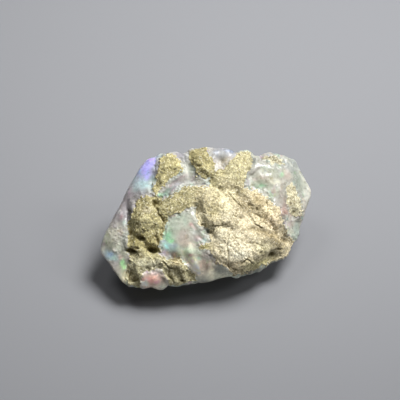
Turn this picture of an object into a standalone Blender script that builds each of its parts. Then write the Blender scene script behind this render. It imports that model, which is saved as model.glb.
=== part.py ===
"""Rough opal: a loose chunk of pale precious opal, partly covered by sandy host rock.

It grew as one piece, so it is one closed solid. It rests on a broken facet, with its
long side along X. Its show face leans back, so that it looks towards -Y and up.
Everything is in millimetres until the finished mesh is scaled to metres.
"""

from math import cos, radians, sin

import bmesh
import bpy
import numpy as np
from mathutils import Vector, noise

MM = 0.001

# Driving sizes
LENGTH = 35.0
FACE_TILT = radians(50)
FACE_HEIGHT = 7.4
FACE_BACK = 0.6
CRUST_THICKNESS = 0.6
CRUST_EDGE = 0.55
VOXEL = 0.32
ROUNDING_STEPS = 6
SOFTENING_STEPS = 2
TRIANGLES = 9200
BASE_CUT = 0.2
BASE_SNAP = 0.02
BASE_CALM = 1.0

# The show face's own axes: U runs along X, V up the face and OUT away from the stone
FACE_CENTRE = Vector((0, FACE_BACK, FACE_HEIGHT))
FACE_U = Vector((1, 0, 0))
FACE_V = Vector((0, sin(FACE_TILT), cos(FACE_TILT)))
FACE_OUT = Vector((0, -cos(FACE_TILT), sin(FACE_TILT)))

# Corners of the broken chunk below and behind, as (x, y, z)
BASE_FACET = [
    (-8.5, -3.0, 0), (-1, -3.4, 0), (6, -2.4, 0), (8.5, 0.6, 0),
    (5.5, 5.5, 0), (-2, 6.5, 0), (-8, 4.5, 0), (-10, 0.5, 0),
]
BACK_BELT = [(13, 11.3, 7.1), (5, 11.5, 6.6), (-4, 11.0, 6.9), (-9.5, 9.3, 6.7), (-12.8, 5.0, 5.6)]

# Its corners round the show face and on it, as (u, v, out)
FRONT_EDGE = [
    (-13.7, -10.2, 4.4), (-9.0, -9.7, 4.9), (-4.3, -9.9, 4.7), (0, -9.6, 4.5),
    (4.5, -8.9, 3.9), (9.0, -6.0, 2.5), (12.8, -5.5, 0.8),
]
LEFT_END = [
    (-14.0, -7.3, 2.8), (-15.8, -5.5, 2.0), (-17.6, -4.9, 1.6),
    (-16.4, -2.6, 0.8), (-15.5, 0.7, -0.6), (-13.6, 2.8, -1.0),
]
RIGHT_END = [
    (14.2, -3.9, -0.4), (13.8, -0.7, -1.4), (17.6, 4.3, -3.2),
    (17.5, 5.3, -3.5), (16.6, 7.7, -3.4), (14.9, 10.8, -3.6),
]
TOP_EDGE = [
    (-10.8, 9.7, -0.6), (-9.7, 10.8, -0.4), (-3.6, 11.9, 0.2), (0, 10.1, 0.4),
    (3.6, 11.7, 0.3), (6.5, 10.8, -0.2), (10.7, 9.5, -2.4),
]
SHOW_FACE = [
    (-11.5, -0.2, 3.0), (-8.8, 6.6, 1.0), (-4, 0.6, 4.5), (3, 0, 4.8),
    (9.5, -0.3, 3.4), (12, 5.2, 0.8), (-5, -6.8, 5.8), (3.5, -6.5, 5.5), (8.5, -4.8, 3.8),
]

# Host-rock crust on the show face: outlines as (u, v) on its plane
CRUST_ON_FACE = {
    "top_left_block": [
        (-7.9, 9.8), (-7.3, 10.4), (-6.2, 10.8), (-5.1, 10.5), (-4.4, 9.8), (-4.0, 8.9), (-4.2, 8.0),
        (-5.9, 6.6), (-7.0, 5.4), (-8.5, 4.0), (-8.8, 4.7), (-8.4, 7.3),
    ],
    "top_middle_block": [
        (-2.8, 12.0), (0.4, 12.0), (1.4, 9.2), (1.8, 8.2), (1.3, 6.8), (0.2, 6.5),
        (-0.5, 7.2), (-1.5, 7.4), (-2.7, 9.5),
    ],
    "top_right_block": [
        (1.6, 8.4), (2.7, 8.6), (4.8, 10.2), (5.6, 12.0), (7.4, 11.3), (8.1, 9.7),
        (6.9, 7.3), (6.4, 5.6), (6.8, 4.8), (3.7, 3.8), (0.3, 4.5), (1.0, 6.8),
    ],
    "main_mass": [
        (-0.8, 5.4), (4.0, 5.5), (7.4, 5.2), (9.1, 4.7), (10.2, 4.0), (10.8, 2.8), (12.2, 1.4), (12.8, 0.1),
        (13.1, -1.3), (13.7, -2.8), (14.9, -3.9), (14.9, -5.1), (13.0, -6.5), (9.6, -7.8), (6.6, -9.1),
        (4.9, -9.2), (3.5, -8.2), (1.5, -7.2), (0.7, -5.6), (-1.2, -5.1), (-1.0, -3.8), (0.6, -3.7),
        (0.6, -1.9), (-0.4, -1.3), (-1.1, -0.6), (-1.6, 0.7), (-1.8, 2.4),
    ],
    "right_strip": [
        (13.4, 5.6), (14.4, 6.1), (15.5, 3.9), (15.9, 2.6), (15.9, 1.3), (15.5, 0.2),
        (14.8, 0.2), (13.7, 2.4), (13.3, 4.6),
    ],
    "rim_scab": [(9.0, 9.9), (9.6, 10.6), (11.3, 10.5), (12.7, 10.0), (13.1, 9.3), (12.0, 9.0), (10.5, 9.4)],
    "middle_band": [
        (-8.6, 3.7), (-7.0, 3.3), (-5.7, 3.8), (-3.8, 5.3), (-2.5, 5.5), (-0.6, 5.4), (-0.7, 3.2),
        (-2.5, 2.0), (-3.8, 1.3), (-6.1, 0.3), (-7.2, 0.0), (-8.8, 1.5),
    ],
    "left_mass": [
        (-12.7, 0.9), (-11.6, 2.9), (-10.9, 3.6), (-9.6, 4.1), (-8.4, 4.0), (-7.2, 1.8), (-6.3, -0.5),
        (-7.1, -3.0), (-7.7, -4.1), (-7.8, -5.4), (-9.3, -6.2), (-12.6, -6.2), (-13.2, -5.4), (-12.9, -2.0),
    ],
    "lower_left_band": [
        (-12.9, -5.6), (-9.0, -5.4), (-7.9, -5.6), (-6.7, -6.3), (-5.5, -6.6), (-4.7, -6.1), (-2.8, -8.2),
        (-1.8, -9.2), (-1.5, -10.2), (-2.8, -10.7), (-5.7, -11.5), (-6.0, -10.2), (-7.6, -8.6), (-9.4, -8.6),
        (-10.5, -9.3), (-11.0, -12.0), (-13.2, -12.0), (-12.9, -8.0),
    ],
}

# Host-rock crust on the sides, back and underside: (x, y, z, radius)
CRUST_BEHIND = [
    (-6.0, 10.5, 12.5, 3.0),
    (1.5, 11.0, 13.0, 4.2),
    (10.5, 11.0, 11.0, 2.4),
    (-7.5, 10.0, 5.5, 4.0),
    (8.5, 10.5, 5.5, 5.0),
    (15.0, -3.0, 5.0, 3.0),
    (4.0, 4.0, 0.0, 4.5),
    (-9.5, -9.0, 3.5, 3.5),
]

# Swells and hollows of the show face: (u, v, half length, half width, turn in degrees, height)
SWELLS = [
    (-4.2, -4.1, 3.6, 2.6, 10, 1.1),
    (5.8, -5.0, 4.6, 2.6, 10, 0.8),
    (2.0, 1.8, 2.4, 2.6, 0, 0.7),
    (11.3, 0.2, 1.7, 1.9, 0, 0.7),
    (-10.0, 0.2, 2.4, 2.2, 60, 0.7),
    (-6.2, 8.4, 2.0, 2.4, 0, 0.5),
    (-0.4, 9.6, 1.8, 2.4, 0, 0.5),
    (4.8, 7.6, 2.4, 2.2, 40, 0.6),
    (9.8, 7.4, 2.2, 1.3, -10, 0.5),
    (13.0, 1.0, 1.2, 4.0, 0, 0.4),
    (-8.5, -9.6, 2.1, 1.1, -5, 0.6),
    (-15.0, -3.6, 1.6, 2.4, 0, 0.5),
    (-1.2, -7.4, 1.5, 1.8, 0, 0.3),
]
HOLLOWS = [
    (-9.0, -4.9, 1.3, 0.6, -18, 1.6),
    (-10.8, -3.2, 0.8, 0.4, -25, 0.7),
    (-12.5, -5.3, 0.9, 0.4, -8, 0.9),
    (-12.8, 0.2, 0.5, 2.6, 10, 0.8),
    (-8.0, 3.0, 0.9, 0.6, 10, 0.9),
    (-3.5, 6.4, 3.6, 1.0, 8, 0.5),
    (-2.9, 8.3, 0.7, 1.7, 0, 0.4),
    (2.4, 9.8, 0.6, 1.0, 10, 0.7),
    (10.9, -5.8, 1.0, 0.8, 0, 1.0),
    (-12.0, -9.6, 0.7, 1.3, 20, 1.0),
    (-2.7, -9.2, 0.6, 1.0, 30, 0.9),
    (-4.6, -8.9, 0.5, 0.9, 30, 0.7),
    (7.5, 7.8, 0.6, 1.3, -15, 0.5),
    (-4.4, -6.4, 2.0, 0.7, -20, 0.6),
]

# Ledges and cracks of the show face: (half width, depth, line as (u, v))
GROOVES = [
    (0.45, 1.0, [(-1.7, 2.3), (-1.0, 0.4), (0.1, -1.6), (0.8, -2.3)]),
    (0.30, 0.4, [(0.2, -1.8), (1.8, -1.4), (3.7, -1.1)]),
    (0.60, 0.5, [(4.2, 5.0), (7.3, 2.3), (10.7, -1.0), (14.0, -4.0)]),
    (0.30, 0.4, [(9.5, 0.7), (10.7, -1.0), (11.3, -2.4)]),
    (0.30, 0.4, [(0.3, 7.0), (1.0, 5.6), (2.8, 4.8)]),
    (0.30, 0.4, [(-8.5, 2.6), (-8.0, 1.0), (-6.9, -0.4)]),
    (0.35, 0.5, [(-3.6, -5.6), (-2.7, -7.2), (-1.4, -8.8)]),
]

COLLECTION = "rough_opal_specimen"
STONE_COLOUR = (0.62, 0.60, 0.47, 1)
STONE_ROUGHNESS = 0.55


def clear_scene():
    for item in list(bpy.data.objects):
        bpy.data.objects.remove(item, do_unlink=True)


def stone_material():
    material = bpy.data.materials.new("milky_opal_and_sandstone")
    material.use_nodes = True
    shader = material.node_tree.nodes["Principled BSDF"]
    shader.inputs["Base Color"].default_value = STONE_COLOUR
    shader.inputs["Roughness"].default_value = STONE_ROUGHNESS
    shader.inputs["Metallic"].default_value = 0.0
    return material


def read_points(mesh, normals=False):
    rows = np.empty(len(mesh.vertices) * 3)
    source = mesh.vertex_normals if normals else mesh.vertices
    source.foreach_get("vector" if normals else "co", rows)
    return rows.reshape(-1, 3)


def write_points(mesh, points):
    mesh.vertices.foreach_set("co", points.ravel())
    mesh.update()


def smooth_step(values, low, high):
    """0 up to low, 1 from high, and an even rise between."""
    part = np.clip((values - low) / (high - low), 0, 1)
    return part * part * (3 - 2 * part)


def noise_field(points, cell, seed):
    """Smooth noise from -1 to 1 whose lumps are about one cell across."""
    shift = Vector((seed * 17.3, seed * 5.1, seed * 9.7))
    return np.array([noise.noise(Vector(point) / cell + shift) for point in points])


def line_distance(points, start, end):
    along = end - start
    offset = points - start
    place = np.clip(offset @ along / (along @ along), 0, 1)
    return np.linalg.norm(offset - place[:, None] * along, axis=1)


def depth_inside(points, outline):
    """How far each point lies inside a closed outline; negative outside it."""
    corners = np.array(outline)
    inside = np.zeros(len(points), bool)
    nearest = np.full(len(points), np.inf)
    for start, end in zip(corners, np.roll(corners, -1, axis=0)):
        nearest = np.minimum(nearest, line_distance(points, start, end))
        if start[1] != end[1]:
            between = (start[1] > points[:, 1]) != (end[1] > points[:, 1])
            slope = (end[0] - start[0]) / (end[1] - start[1])
            inside ^= between & (points[:, 0] < start[0] + (points[:, 1] - start[1]) * slope)
    return np.where(inside, nearest, -nearest)


def on_face(points):
    """Places on the show face's plane, as (u, v)."""
    offset = points - np.array(FACE_CENTRE)
    return np.column_stack([offset @ np.array(FACE_U), offset @ np.array(FACE_V)])


def crust_cover(points, faces_viewer):
    """1 on host rock, 0 on bare opal, with a steep, ragged edge between."""
    ragged = np.column_stack([noise_field(points, 1.6, seed) for seed in (1, 2, 3)]) * 0.5
    places = on_face(points + ragged)
    depth = np.full(len(points), -np.inf)
    for outline in CRUST_ON_FACE.values():
        depth = np.maximum(depth, depth_inside(places, outline))
    front = smooth_step(depth, -CRUST_EDGE, CRUST_EDGE) * smooth_step(faces_viewer, -0.15, 0.1)
    behind = np.full(len(points), -np.inf)
    for x, y, z, radius in CRUST_BEHIND:
        away = np.linalg.norm(points + 2 * ragged - np.array((x, y, z)), axis=1)
        behind = np.maximum(behind, radius - away)
    back = smooth_step(behind, -CRUST_EDGE, CRUST_EDGE) * smooth_step(-faces_viewer, -0.25, 0.0)
    return np.maximum(front, back)


def swell(places, u, v, half_length, half_width, turn, height):
    """A soft round hill on the show face."""
    angle = radians(turn)
    offset = places - np.array((u, v))
    along = offset @ np.array((cos(angle), sin(angle))) / half_length
    across = offset @ np.array((-sin(angle), cos(angle))) / half_width
    return height * np.exp(-(along**2 + across**2))


def groove(places, half_width, depth, line):
    corners = np.array(line)
    away = np.min([line_distance(places, a, b) for a, b in zip(corners, corners[1:])], axis=0)
    return depth * np.exp(-((away / half_width) ** 2))


def relief(points, normals):
    """How far each point of the plain chunk moves out along its normal."""
    faces_viewer = normals @ np.array(FACE_OUT)
    crust = crust_cover(points, faces_viewer)
    places = on_face(points)
    face_relief = np.zeros(len(points))
    for values in SWELLS:
        face_relief += swell(places, *values)
    for values in HOLLOWS:
        face_relief -= swell(places, *values)
    for values in GROOVES:
        face_relief -= groove(places, *values)
    height = face_relief * smooth_step(faces_viewer, 0.0, 0.45)
    height += CRUST_THICKNESS * (crust - 0.3)
    lumps = 0.40 * noise_field(points, 2.0, 4) + 0.35 * np.abs(noise_field(points, 1.1, 5))
    waves = 0.45 * noise_field(points, 5.5, 6) + 0.10 * noise_field(points, 2.4, 7)
    height += crust * lumps + (1 - 0.5 * crust) * waves
    return height * smooth_step(points[:, 2], 0.2, BASE_CALM)


def baked(stone):
    """Puts the shape that the modifiers give into the object's own mesh."""
    graph = bpy.context.evaluated_depsgraph_get()
    mesh = bpy.data.meshes.new_from_object(stone.evaluated_get(graph))
    stone.modifiers.clear()
    stone.data = mesh
    return mesh


def broken_chunk(collection):
    """The plain chunk: the hull of its corners with its edges worn round."""
    mesh = bpy.data.meshes.new("rough_opal")
    shape = bmesh.new()
    for corner in BASE_FACET + BACK_BELT:
        shape.verts.new(corner)
    for u, v, out in FRONT_EDGE + LEFT_END + RIGHT_END + TOP_EDGE + SHOW_FACE:
        shape.verts.new(FACE_CENTRE + u * FACE_U + v * FACE_V + out * FACE_OUT)
    hull = bmesh.ops.convex_hull(shape, input=shape.verts)
    inner = hull["geom_interior"] + hull["geom_unused"]
    spare = {item for item in inner if isinstance(item, bmesh.types.BMVert)}
    bmesh.ops.delete(shape, geom=list(spare), context="VERTS")
    shape.to_mesh(mesh)
    shape.free()
    stone = bpy.data.objects.new("rough_opal", mesh)
    collection.objects.link(stone)
    remesh = stone.modifiers.new("even_grid", "REMESH")
    remesh.mode = "VOXEL"
    remesh.voxel_size = VOXEL
    rounding = stone.modifiers.new("worn_edges", "SMOOTH")
    rounding.factor = 0.5
    rounding.iterations = ROUNDING_STEPS
    baked(stone)
    return stone


def add_relief(stone):
    mesh = stone.data
    points = read_points(mesh)
    normals = read_points(mesh, normals=True)
    write_points(mesh, points + normals * relief(points, normals)[:, None])
    softening = stone.modifiers.new("softened_ledges", "SMOOTH")
    softening.factor = 0.5
    softening.iterations = SOFTENING_STEPS
    baked(stone)


def thin_out(stone):
    """Fewer triangles, with the small ones kept where the relief is sharp."""
    bm = bmesh.new()
    bm.from_mesh(stone.data)
    bmesh.ops.triangulate(bm, faces=bm.faces)
    count = len(bm.faces)
    bm.to_mesh(stone.data)
    bm.free()
    thinner = stone.modifiers.new("thinner", "DECIMATE")
    thinner.ratio = min(1.0, TRIANGLES / count)
    baked(stone)


def level_base(stone, cut):
    """Levels the underside, up to the cut's height, into the flat facet that the stone rests on."""
    points = read_points(stone.data)
    level = points[:, 2].min() + cut
    points[:, 2] = np.where(points[:, 2] < level + BASE_SNAP, level, points[:, 2])
    write_points(stone.data, points)


def fit(stone, unit):
    """Scales to the stated length, in the unit given, and puts the base's middle at the origin."""
    points = read_points(stone.data)
    low, high = points.min(axis=0), points.max(axis=0)
    middle = np.array(((low[0] + high[0]) / 2, (low[1] + high[1]) / 2, low[2]))
    write_points(stone.data, (points - middle) * LENGTH * unit / (high[0] - low[0]))


def build():
    clear_scene()
    collection = bpy.data.collections.new(COLLECTION)
    bpy.context.scene.collection.children.link(collection)
    stone = broken_chunk(collection)
    fit(stone, 1)
    add_relief(stone)
    level_base(stone, BASE_CUT)
    thin_out(stone)
    level_base(stone, 0)
    fit(stone, MM)
    stone.data.materials.clear()
    stone.data.materials.append(stone_material())


build()
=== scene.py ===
"""The looks of the rough opal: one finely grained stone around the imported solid, on a pale floor in
studio light.

Lengths are in millimetres in the stone's own making, and in metres from there on.
"""

from math import cos, radians, sin

import bpy
import numpy as np
from mathutils import Matrix, Vector, noise


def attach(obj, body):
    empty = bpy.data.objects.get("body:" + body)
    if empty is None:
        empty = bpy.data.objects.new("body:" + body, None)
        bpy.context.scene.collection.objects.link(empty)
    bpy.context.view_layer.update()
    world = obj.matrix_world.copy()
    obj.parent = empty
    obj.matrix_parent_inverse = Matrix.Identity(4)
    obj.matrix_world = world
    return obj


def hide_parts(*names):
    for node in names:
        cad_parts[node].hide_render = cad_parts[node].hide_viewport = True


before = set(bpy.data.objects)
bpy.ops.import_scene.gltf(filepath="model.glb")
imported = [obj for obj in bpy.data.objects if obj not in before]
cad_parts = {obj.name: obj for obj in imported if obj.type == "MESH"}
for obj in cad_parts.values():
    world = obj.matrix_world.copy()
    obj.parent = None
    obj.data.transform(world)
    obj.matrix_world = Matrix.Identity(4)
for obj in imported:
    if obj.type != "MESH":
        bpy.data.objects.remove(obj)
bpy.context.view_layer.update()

NODE = "rough_opal"
MM = 0.001

# The show face's own axes: U runs along X, V up the face and OUT away from the stone
FACE_TILT = radians(50)
FACE_CENTRE = Vector((0, 0.6, 7.4))
FACE_U = Vector((1, 0, 0))
FACE_V = Vector((0, sin(FACE_TILT), cos(FACE_TILT)))
FACE_OUT = Vector((0, -cos(FACE_TILT), sin(FACE_TILT)))

# Grid of the visible stone, and how far the grid's own roundness blurs the solid's facets
VOXEL = 0.108
FACET_BLUR_STEPS = 22
MOST_TRIANGLES = 196000

# The solid's own crust step and the half width of its slope, which give way to a ragged step here
CRUST_THICKNESS = 0.6
CRUST_EDGE = 0.55
CRUST_STEP = 0.5

# Even lift of the whole surface over the blurred solid
LIFT = 0.12

# Sand grains: their cell, their height, how deep a lost one leaves its place, and the share that is kept
GRAIN_CELL = 0.26
GRAIN_HEIGHT = 0.05
LOST_GRAIN_DEPTH = 0.08
GRAINS_KEPT = 0.90

# Blender seeds noise_vector, which tilts the crust's blocks, from the clock unless it is given a seed
NOISE_SEED = 1

# Layers of noise, each as (height or strength, cell, seed)
CRUST_LUMPS = [(0.14, 1.5, 21), (0.06, 0.6, 22)]
CRUST_BLOCKS = [(0.17, 1.8, 31), (0.07, 0.7, 32)]
OPAL_RELIEF = [(0.06, 2.2, 28), (0.035, 0.8, 29), (0.022, 0.32, 35)]
CRUST_MOTTLE = [(0.15, 1.8, 33), (0.12, 0.5, 34)]
OPAL_MILK = [(0.08, 1.2, 44), (0.14, 0.3, 45)]

# How far pits and cracks follow the crust's ragged shift, from 0 to 1
LINE_WOBBLE = 0.3

# How coarse the crust is behind, where no patch of the show face says so
COARSE_BEHIND = 0.8

# Host-rock crust on the show face: tint in sRGB, coarseness, and outline as (u, v) on the face
CRUST_ON_FACE = {
    "top_left_block": ((190, 181, 134), 0.15, [
        (-7.9, 9.8), (-7.3, 10.4), (-6.2, 10.8), (-5.1, 10.5), (-4.4, 9.8), (-4.0, 8.9), (-4.2, 8.0),
        (-5.9, 6.6), (-7.0, 5.4), (-8.5, 4.0), (-8.8, 4.7), (-8.4, 7.3),
    ]),
    "top_middle_block": ((178, 169, 124), 0.35, [
        (-2.8, 12.0), (0.4, 12.0), (1.4, 9.2), (1.8, 8.2), (1.3, 6.8), (0.2, 6.5),
        (-0.5, 7.2), (-1.5, 7.4), (-2.7, 9.5),
    ]),
    "top_right_block": ((196, 188, 148), 0.35, [
        (1.6, 8.4), (2.7, 8.6), (4.8, 10.2), (5.6, 12.0), (7.4, 11.3), (8.1, 9.7),
        (6.9, 7.3), (6.4, 5.6), (6.8, 4.8), (3.7, 3.8), (0.3, 4.5), (1.0, 6.8),
    ]),
    "main_mass": ((222, 209, 175), 0.6, [
        (-0.8, 5.4), (4.0, 5.5), (7.4, 5.2), (9.1, 4.7), (10.2, 4.0), (10.8, 2.8), (12.2, 1.4), (12.8, 0.1),
        (13.1, -1.3), (13.7, -2.8), (14.9, -3.9), (14.9, -5.1), (13.0, -6.5), (9.6, -7.8), (6.6, -9.1),
        (4.9, -9.2), (3.5, -8.2), (1.5, -7.2), (0.7, -5.6), (-1.2, -5.1), (-1.0, -3.8), (0.6, -3.7),
        (0.6, -1.9), (-0.4, -1.3), (-1.1, -0.6), (-1.6, 0.7), (-1.8, 2.4),
    ]),
    "right_strip": ((206, 199, 168), 0.6, [
        (13.4, 5.6), (14.4, 6.1), (15.5, 3.9), (15.9, 2.6), (15.9, 1.3), (15.5, 0.2),
        (14.8, 0.2), (13.7, 2.4), (13.3, 4.6),
    ]),
    "rim_scab": ((196, 191, 164), 0.5, [
        (9.0, 9.9), (9.6, 10.6), (11.3, 10.5), (12.7, 10.0), (13.1, 9.3), (12.0, 9.0), (10.5, 9.4),
    ]),
    "middle_band": ((180, 172, 130), 0.45, [
        (-8.6, 3.7), (-7.0, 3.3), (-5.7, 3.8), (-3.8, 5.3), (-2.5, 5.5), (-0.6, 5.4), (-0.7, 3.2),
        (-2.5, 2.0), (-3.8, 1.3), (-6.1, 0.3), (-7.2, 0.0), (-8.8, 1.5),
    ]),
    "left_mass": ((184, 175, 128), 0.75, [
        (-12.7, 0.9), (-11.6, 2.9), (-10.9, 3.6), (-9.6, 4.1), (-8.4, 4.0), (-7.2, 1.8), (-6.3, -0.5),
        (-7.1, -3.0), (-7.7, -4.1), (-7.8, -5.4), (-9.3, -6.2), (-12.6, -6.2), (-13.2, -5.4), (-12.9, -2.0),
    ]),
    "lower_left_band": ((188, 182, 146), 0.75, [
        (-12.9, -5.6), (-9.0, -5.4), (-7.9, -5.6), (-6.7, -6.3), (-5.5, -6.6), (-4.7, -6.1), (-2.8, -8.2),
        (-1.8, -9.2), (-1.5, -10.2), (-2.8, -10.7), (-5.7, -11.5), (-6.0, -10.2), (-7.6, -8.6), (-9.4, -8.6),
        (-10.5, -9.3), (-11.0, -12.0), (-13.2, -12.0), (-12.9, -8.0),
    ]),
}

# Host-rock crust on the sides, back and underside: (x, y, z, radius)
CRUST_BEHIND = [
    (-6.0, 10.5, 12.5, 3.0),
    (1.5, 11.0, 13.0, 4.2),
    (10.5, 11.0, 11.0, 2.4),
    (-7.5, 10.0, 5.5, 4.0),
    (8.5, 10.5, 5.5, 5.0),
    (15.0, -3.0, 5.0, 3.0),
    (4.0, 4.0, 0.0, 4.5),
    (-9.5, -9.0, 3.5, 3.5),
]
CRUST_BEHIND_TINT = (190, 181, 136)

# Crust tints inside the big patches: (u, v, half length, half width, turn in degrees, sRGB colour, strength).
# The pale washes low on the front are lightened to make up for the shade on those down-turned faces,
# which paints light into them.
CRUST_WASHES = [
    (1.2, 1.5, 2.0, 2.0, 0, (180, 170, 124), 0.8),
    (3.4, 0.6, 1.4, 1.2, 0, (234, 224, 190), 0.8),
    (-0.2, -4.5, 1.2, 0.9, 0, (134, 129, 64), 0.9),
    (3.4, 3.4, 1.4, 1.8, 0, (232, 222, 184), 0.7),
    (2.8, -2.4, 2.0, 1.1, 10, (232, 223, 192), 0.8),
    (3.6, -4.6, 2.2, 1.8, 0, (252, 243, 211), 0.8),
    (6.4, -4.4, 2.2, 2.2, 0, (230, 219, 188), 0.8),
    (5.7, -6.1, 1.8, 1.0, 0, (255, 250, 224), 0.95),
    (9.6, -5.0, 1.6, 1.4, 0, (222, 214, 174), 0.8),
    # Painted shade: a brownish band down a slope that faces away from the light
    (6.4, 2.3, 1.8, 1.1, -40, (138, 126, 96), 0.9),
    (12.2, -4.3, 1.6, 0.9, -30, (160, 148, 116), 0.9),
    (5.6, -7.4, 2.6, 0.9, 12, (242, 226, 188), 0.9),
    (7.4, -7.7, 1.4, 0.8, 15, (252, 244, 190), 0.95),
    (9.6, -7.2, 1.8, 0.7, 24, (214, 206, 150), 0.9),
    (8.8, 3.2, 2.0, 1.4, -40, (190, 172, 132), 0.8),
    (9.9, 0.6, 1.1, 0.9, 0, (238, 222, 180), 0.8),
    (11.0, -0.2, 1.3, 1.6, 0, (236, 215, 178), 0.8),
    (10.6, -2.6, 3.2, 0.6, -20, (186, 168, 130), 0.8),
    (-10.2, 2.4, 1.3, 0.8, 0, (164, 156, 118), 0.9),
    (-9.8, 1.5, 0.9, 0.5, 0, (196, 187, 160), 0.8),
    (-0.9, 0.3, 0.9, 2.0, 8, (250, 240, 202), 0.9),
    (0.6, -1.3, 1.4, 0.6, 0, (250, 240, 202), 0.8),
    (1.4, 5.8, 1.4, 0.6, -25, (226, 216, 168), 0.8),
    (-8.9, -5.0, 1.2, 0.6, -18, (210, 201, 146), 0.95),
    (-10.0, -0.5, 1.6, 1.0, 0, (222, 213, 164), 0.9),
    (-11.8, -3.4, 1.0, 1.0, 0, (148, 140, 92), 0.9),
    (-9.4, -3.9, 1.8, 1.0, -20, (176, 164, 110), 0.7),
    (-12.3, -9.4, 0.8, 1.5, 20, (190, 182, 144), 0.8),
    (-3.6, -9.4, 1.9, 1.2, -20, (238, 229, 184), 0.9),
    (-10.8, -7.2, 1.8, 0.9, 0, (206, 202, 172), 0.8),
    (-8.8, -7.4, 1.4, 0.9, 20, (208, 204, 176), 0.8),
    (-4.9, -6.9, 0.9, 1.2, -30, (204, 188, 146), 0.8),
]
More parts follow.
